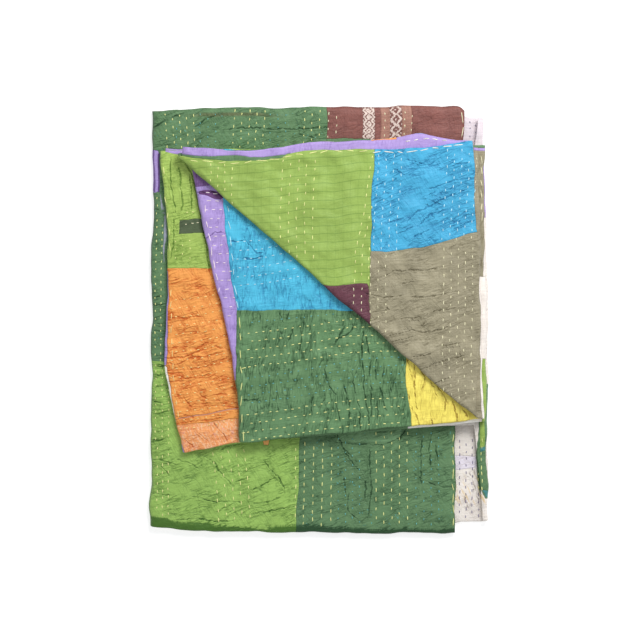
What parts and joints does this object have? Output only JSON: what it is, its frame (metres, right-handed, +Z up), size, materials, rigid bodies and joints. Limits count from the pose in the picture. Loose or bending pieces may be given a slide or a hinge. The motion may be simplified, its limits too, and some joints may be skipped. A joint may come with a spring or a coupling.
{
  "type": "kantha quilt",
  "caption": "Pieced silk quilt with running stitch all over, folded into a flat packet with the corner of its top layer turned back.",
  "frame": {"origin": "on the surface that the folded quilt lies on, under the middle of its bounding box", "axes": "+Z up, +Y towards the packet's upper edge as it is looked at from above, +X to the right"},
  "size_m": [0.4366, 0.55, 0.0376],
  "materials": {
    "silk": "slubby woven silk in patches of green, lime, blue, orange, taupe, lilac and cream, with running stitch"
  },
  "bodies": {
    "root": {"quilt": "silk"}
  },
  "joints": []
}
